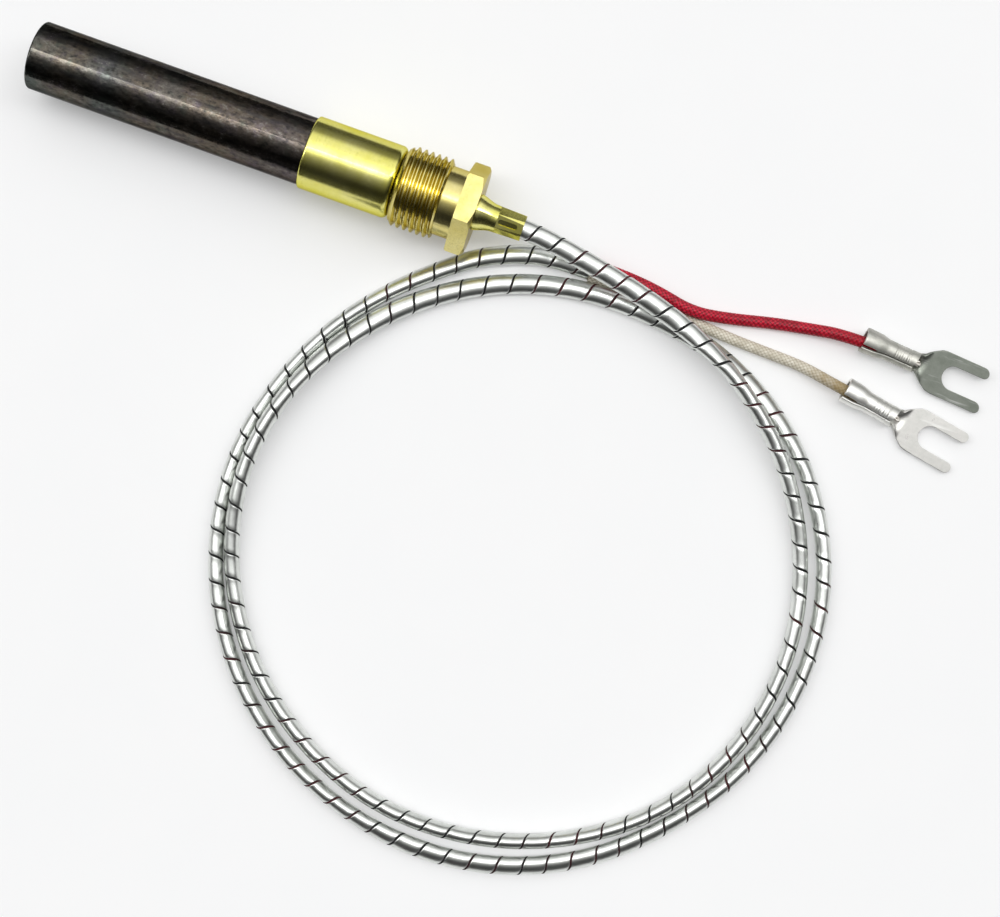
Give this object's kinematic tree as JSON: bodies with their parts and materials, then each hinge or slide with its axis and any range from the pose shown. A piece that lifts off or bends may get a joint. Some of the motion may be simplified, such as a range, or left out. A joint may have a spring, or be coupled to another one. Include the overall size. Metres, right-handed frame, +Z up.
{
  "type": "thermopile generator",
  "caption": "Pilot-flame thermopile: steel hot tube in a brass shell with a captive threaded nut, and a coiled armoured lead ending in a red and a white wire with fork terminals.",
  "frame": {"origin": "on the body axis, in the plane of the brass shell's shoulder that the captive nut presses on", "axes": "+X along the body axis from the hot tip towards the lead, +Z straight up from the table that the part lies on"},
  "size_m": [0.146, 0.0982, 0.0128],
  "materials": {
    "blued_steel": "black oxide with mottled brown, purple and green heat tints, polished along its length",
    "cap_steel": "black oxide, duller than the tube",
    "drawn_brass": "polished lemon-yellow drawn brass",
    "turned_brass": "turned golden brass with fine tool marks",
    "armour_strip": "bright rolled strip with dark spiral seams",
    "red_braid": "crimson braided glass sleeve, lacquered",
    "white_braid": "off-white braided glass sleeve, yellowed near the terminal",
    "tin_plate": "matt grey tin plate with crimp marks",
    "bright_tin_plate": "bright tin plate with crimp marks",
    "tinned_strand": "bare twisted strands of tinned copper",
    "chromel": "bare drawn alloy strip",
    "constantan": "bare drawn alloy strip",
    "weld": "heat-tinted weld",
    "ceramic": "unglazed ceramic",
    "mica": "amber mica sheet",
    "cement": "sandy refractory cement",
    "glass_sleeve": "thin glass-fibre sleeving"
  },
  "bodies": {
    "generator": {"outer_tube": "blued_steel", "tip_cap": "cap_steel", "brass_shell": "drawn_brass", "lead_armour": "armour_strip", "red_wire": "red_braid", "white_wire": "white_braid", "red_fork_terminal": "tin_plate", "white_fork_terminal": "bright_tin_plate", "red_conductor": "tinned_strand", "white_conductor": "tinned_strand", "positive_legs": "chromel", "negative_legs": "constantan", "hot_junctions": "weld", "cold_junctions": "weld", "ceramic_core": "ceramic", "mica_liner": "mica", "hot_end_disc": "mica", "cold_end_disc": "mica", "positive_splice": "tin_plate", "negative_splice": "tin_plate", "red_inner_wire": "red_braid", "white_inner_wire": "glass_sleeve", "rear_potting": "cement"},
    "nut": {"mounting_nut": "turned_brass"}
  },
  "joints": [
    {"name": "nut_spin", "type": "hinge", "parent": "generator", "child": "nut", "pos_m": [0.006, 0, 0], "axis": [1, 0, 0], "continuous": true}
  ]
}
